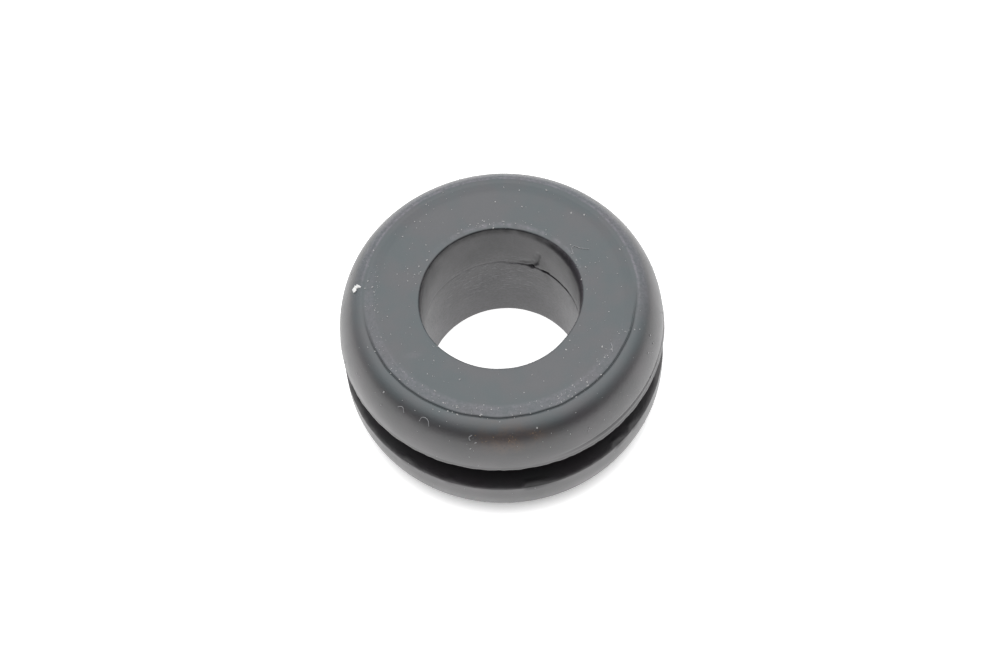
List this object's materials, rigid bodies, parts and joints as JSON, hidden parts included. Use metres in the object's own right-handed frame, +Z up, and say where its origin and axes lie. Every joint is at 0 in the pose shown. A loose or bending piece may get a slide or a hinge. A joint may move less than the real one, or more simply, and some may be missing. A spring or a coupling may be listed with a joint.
{
  "type": "rubber grommet",
  "caption": "Round moulded rubber grommet with two rounded flanges, a panel groove between them and a plain through bore for a cable.",
  "frame": {"origin": "centre of the base face, on the axis of the bore", "axes": "+Z up along the bore from the base face to the top face, +X to the right and -Y towards the viewer"},
  "size_m": [0.016, 0.016, 0.008],
  "materials": {
    "rubber": "moulded black rubber, dull, dusty, with faint mottling and a little lint"
  },
  "bodies": {
    "root": {"grommet": "rubber"}
  },
  "joints": []
}
